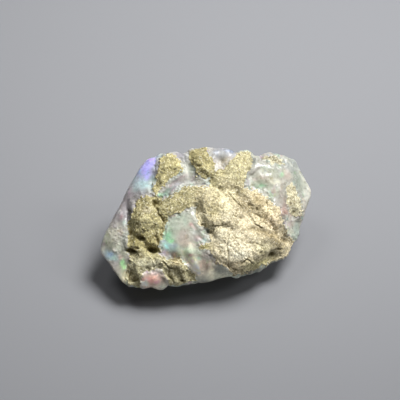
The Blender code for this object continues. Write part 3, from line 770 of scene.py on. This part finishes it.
def crust_colour(layout):
    """Each patch's own tint, blended where patches meet, with the washes over them."""
    colour = layout.shares.T @ np.array([linear(tint) for tint, _, _ in CRUST_ON_FACE.values()])
    colour = layout.front[:, None] * colour + (1 - layout.front[:, None]) * linear(CRUST_BEHIND_TINT)
    for *oval, tint, strength in CRUST_WASHES:
        lay(colour, strength * layout.front * blob(layout.places, *oval), linear(tint))
    mottle = layered(noise_field, layout.points, CRUST_MOTTLE, 0.76) + 0.30 * layout.grain_number
    return colour * mottle[:, None]


def opal_colour(layout):
    """Milky washes with broken flashes of spectral colour in them, paler and duller where it is frosted, with
    light and shade painted in by dividing each tint by the light where it lies.
    """
    points = layout.points
    stirred = layout.places + wobble(points, 0.9, 0.35, (41, 42))
    colour = np.tile(linear(OPAL_GROUND), (len(points), 1))
    drift = 1.1 * noise_field(points, 3.5, 46)
    lay(colour, np.clip(drift, 0, 1), linear(OPAL_COOL))
    lay(colour, np.clip(-drift, 0, 1), linear(OPAL_WARM))
    for light, washes in OPAL_WASHES.values():
        for wash in washes:
            paint(colour, stirred, layout, light, wash)
    broken = 1.5 + 0.9 * noise_field(points, 0.35, 43)
    for light, *flash in FLASHES:
        paint(colour, stirred, layout, light, flash, broken)
    for x, y, z, radius, tint in FLASHES_BEHIND:
        away = np.linalg.norm(points - np.array((x, y, z)), axis=1)
        spot = np.clip(broken * np.exp(-((away / radius) ** 2)), 0, 1)
        lay(colour, BEHIND_STRENGTH * (1 - layout.front) * spot, linear(tint))
    grey = colour.mean(axis=1)[:, None] * FROST_GREY
    lay(colour, 0.6 * layout.frost, grey)
    milk = layered(noise_field, points, OPAL_MILK, 0.91) + 0.18 * layout.grain_number
    return colour * milk[:, None]


def colour_attribute(mesh, name, rgb):
    layer = mesh.attributes.new(name, "FLOAT_COLOR", "POINT")
    layer.data.foreach_set("color", np.column_stack([np.clip(rgb, 0, 1), np.ones(len(rgb))]).ravel())


def value_attribute(mesh, name, values):
    layer = mesh.attributes.new(name, "FLOAT", "POINT")
    layer.data.foreach_set("value", values.astype(np.float32))


class Nodes:
    """Short calls for one material's nodes and links."""

    def __init__(self, name):
        self.material = bpy.data.materials.new(name)
        self.material.use_nodes = True
        self.tree = self.material.node_tree
        self.shader = self.tree.nodes["Principled BSDF"]

    def node(self, kind, **values):
        made = self.tree.nodes.new(kind)
        for key, value in values.items():
            setattr(made, key, value)
        return made

    def link(self, source, target):
        self.tree.links.new(source, target)

    def attribute(self, name, output):
        return self.node("ShaderNodeAttribute", attribute_name=name).outputs[output]

    def coordinates(self):
        return self.node("ShaderNodeTexCoord").outputs["Object"]

    def noise(self, scale, detail=3.0):
        made = self.node("ShaderNodeTexNoise")
        made.inputs["Scale"].default_value = scale
        made.inputs["Detail"].default_value = detail
        self.link(self.coordinates(), made.inputs["Vector"])
        return made.outputs["Fac"]

    def cells(self, scale, output):
        made = self.node("ShaderNodeTexVoronoi")
        made.inputs["Scale"].default_value = scale
        self.link(self.coordinates(), made.inputs["Vector"])
        return made.outputs[output]

    def ramp(self, source, low, high, out_low=0.0, out_high=1.0):
        made = self.node("ShaderNodeMapRange", interpolation_type="SMOOTHSTEP")
        for key, value in (("From Min", low), ("From Max", high), ("To Min", out_low), ("To Max", out_high)):
            made.inputs[key].default_value = value
        self.link(source, made.inputs["Value"])
        return made.outputs["Result"]

    def mix(self, factor, first, second, blend="MIX"):
        made = self.node("ShaderNodeMix", data_type="RGBA", blend_type=blend)
        for socket, value in ((made.inputs[0], factor), (made.inputs[6], first), (made.inputs[7], second)):
            if isinstance(value, bpy.types.NodeSocket):
                self.link(value, socket)
            else:
                socket.default_value = value
        return made.outputs[2]

    def maths(self, operation, first, second):
        made = self.node("ShaderNodeMath", operation=operation)
        for socket, value in zip(made.inputs, (first, second)):
            if isinstance(value, bpy.types.NodeSocket):
                self.link(value, socket)
            else:
                socket.default_value = value
        return made.outputs[0]

    def bump(self, height, strength, distance):
        made = self.node("ShaderNodeBump")
        made.inputs["Strength"].default_value = strength
        made.inputs["Distance"].default_value = distance
        self.link(height, made.inputs["Height"])
        self.link(made.outputs["Normal"], self.shader.inputs["Normal"])


def crust_material():
    """Sandy host rock: dull grains, with painted shade darkening its pits and the gaps between them."""
    made = Nodes("sandy_host_rock")
    number = made.node("ShaderNodeSeparateColor")
    made.link(made.cells(SAND_SCALE, "Color"), number.inputs["Color"])
    shade = made.ramp(number.outputs["Red"], 0.0, 1.0, out_low=0.80, out_high=1.16)
    grey = made.node("ShaderNodeCombineColor")
    for channel in ("Red", "Green", "Blue"):
        made.link(shade, grey.inputs[channel])
    colour = made.mix(1.0, made.attribute("crust_colour", "Color"), grey.outputs["Color"], "MULTIPLY")
    olive = made.maths("MULTIPLY", made.ramp(number.outputs["Green"], 0.86, 0.9), 0.5)
    colour = made.mix(olive, colour, rgba(OLIVE_GRAIN))
    pale = made.maths("MULTIPLY", made.ramp(number.outputs["Blue"], 0.90, 0.94), 0.45)
    colour = made.mix(pale, colour, rgba(PALE_GRAIN))
    # Painted shade: darkens the crust's colour in pits, cracks, holes and grain gaps
    deep = made.maths("MULTIPLY", made.attribute("painted_shade", "Fac"), 0.8)
    colour = made.mix(deep, colour, rgba(CRUST_SHADE_TINT))
    made.link(colour, made.shader.inputs["Base Color"])
    dull = made.ramp(made.noise(scale=2500), 0.3, 0.7, out_low=0.78, out_high=0.96)
    made.link(dull, made.shader.inputs["Roughness"])
    made.shader.inputs["Specular IOR Level"].default_value = 0.2
    made.bump(made.noise(scale=7500, detail=4.0), strength=0.5, distance=0.00010)
    return made.material


def opal_material():
    """Milky opal: soft translucent body, satin to glossy, with faint pinfire between the flashes."""
    made = Nodes("milky_precious_opal")
    hue = made.node("ShaderNodeSeparateColor")
    made.link(made.cells(FIRE_SCALE, "Color"), hue.inputs["Color"])
    fire = made.node("ShaderNodeCombineColor", mode="HSV")
    made.link(hue.outputs["Red"], fire.inputs["Red"])
    fire.inputs["Green"].default_value = 0.35
    fire.inputs["Blue"].default_value = 1.0
    bright = made.ramp(hue.outputs["Green"], 0.35, 0.9, out_low=0.0, out_high=0.55)
    share = made.maths("MULTIPLY", made.ramp(made.noise(scale=420), 0.48, 0.66), bright)
    colour = made.mix(share, made.attribute("opal_colour", "Color"), fire.outputs["Color"], "MULTIPLY")
    frost = made.attribute("frost", "Fac")
    # Painted shade: darkens the opal's colour in its pits and cracks
    deep = made.maths("MULTIPLY", made.attribute("painted_shade", "Fac"), 0.6)
    colour = made.mix(deep, colour, rgba(OPAL_SHADE_TINT))
    made.link(colour, made.shader.inputs["Base Color"])
    sheen = made.ramp(made.noise(scale=900), 0.35, 0.7, out_low=0.24, out_high=0.48)
    rough = made.maths("MAXIMUM", sheen, made.maths("MULTIPLY", frost, 0.85))
    made.link(rough, made.shader.inputs["Roughness"])
    made.shader.inputs["IOR"].default_value = 1.45
    made.shader.inputs["Subsurface Weight"].default_value = 0.45
    made.shader.inputs["Subsurface Radius"].default_value = (1.0, 0.9, 0.8)
    made.shader.inputs["Subsurface Scale"].default_value = 0.0010
    made.shader.inputs["Transmission Weight"].default_value = 0.10
    made.bump(made.noise(scale=2600), strength=0.25, distance=0.00008)
    return made.material


def build_stone():
    noise.seed_set(NOISE_SEED)
    stone = fine_copy()
    mesh = stone.data
    points = read_vectors(mesh.vertices, "co")
    normals = read_vectors(mesh.vertex_normals, "vector")
    layout = Layout(points, normals)
    height, painted_shade = stone_relief(layout)
    colour_attribute(mesh, "crust_colour", crust_colour(layout))
    colour_attribute(mesh, "opal_colour", opal_colour(layout))
    value_attribute(mesh, "painted_shade", painted_shade)
    value_attribute(mesh, "frost", layout.frost)
    value_attribute(mesh, "crust", layout.crust)
    moved = points + normals * height[:, None]
    moved[:, 2] = np.maximum(moved[:, 2], points[:, 2].min())
    mesh.vertices.foreach_set("co", (moved * MM).ravel())
    mesh.update()
    return stone


def finish_stone(stone):
    """Thins the grid to the triangle limit, then gives each face its material."""
    count = sum(len(face.vertices) - 2 for face in stone.data.polygons)
    thinner = stone.modifiers.new("thinner", "DECIMATE")
    thinner.ratio = min(1.0, MOST_TRIANGLES / count)
    baked(stone)
    mesh = stone.data
    crust = np.empty(len(mesh.vertices), np.float32)
    mesh.attributes["crust"].data.foreach_get("value", crust)
    corners = np.empty(len(mesh.loops), np.int32)
    mesh.loops.foreach_get("vertex_index", corners)
    starts = np.empty(len(mesh.polygons), np.int32)
    mesh.polygons.foreach_get("loop_start", starts)
    share = np.add.reduceat(crust[corners], starts) / np.diff(np.append(starts, len(corners)))
    mesh.materials.append(opal_material())
    mesh.materials.append(crust_material())
    mesh.polygons.foreach_set("material_index", (share > 0.5).astype(np.int32))
    mesh.polygons.foreach_set("use_smooth", np.ones(len(mesh.polygons), bool))
    mesh.update()
    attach(stone, "root")
    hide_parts(NODE)


def add_floor():
    bpy.ops.mesh.primitive_plane_add(size=FLOOR_SIZE)
    floor = bpy.context.object
    floor.name = "floor"
    made = Nodes("pale_floor")
    made.shader.inputs["Base Color"].default_value = rgba(FLOOR_TINT)
    made.shader.inputs["Roughness"].default_value = FLOOR_ROUGHNESS
    floor.data.materials.append(made.material)


def aim(item, target):
    item.rotation_euler = (Vector(target) - item.location).to_track_quat("-Z", "Y").to_euler()


def add_area_light(name, place, size, power, spread, target):
    data = bpy.data.lights.new(name, "AREA")
    data.shape = "DISK"
    data.size = size
    data.energy = power
    data.spread = radians(spread)
    light = bpy.data.objects.new(name, data)
    light.location = place
    bpy.context.scene.collection.objects.link(light)
    aim(light, target)


def add_lights():
    for light in LIGHTS:
        add_area_light(*light)
    world = bpy.data.worlds.new("soft_room")
    world.use_nodes = True
    background = world.node_tree.nodes["Background"]
    background.inputs["Color"].default_value = WORLD_COLOUR
    background.inputs["Strength"].default_value = WORLD_STRENGTH
    bpy.context.scene.world = world


def add_camera():
    data = bpy.data.cameras.new("photo_camera")
    data.sensor_width = SENSOR_WIDTH_MM
    data.lens = SENSOR_WIDTH_MM * CAMERA_DISTANCE / (IMAGE_WIDTH_MM * MM)
    camera = bpy.data.objects.new("photo_camera", data)
    target = (FACE_CENTRE + AIM_U * FACE_U + AIM_V * FACE_V) * MM
    camera.location = target + FACE_OUT * CAMERA_DISTANCE
    bpy.context.scene.collection.objects.link(camera)
    aim(camera, target)
    bpy.context.scene.camera = camera


def set_view():
    bpy.context.scene.view_settings.view_transform = "Standard"
    bpy.context.scene.view_settings.look = "None"


add_camera()
add_floor()
add_lights()
set_view()
finish_stone(build_stone())
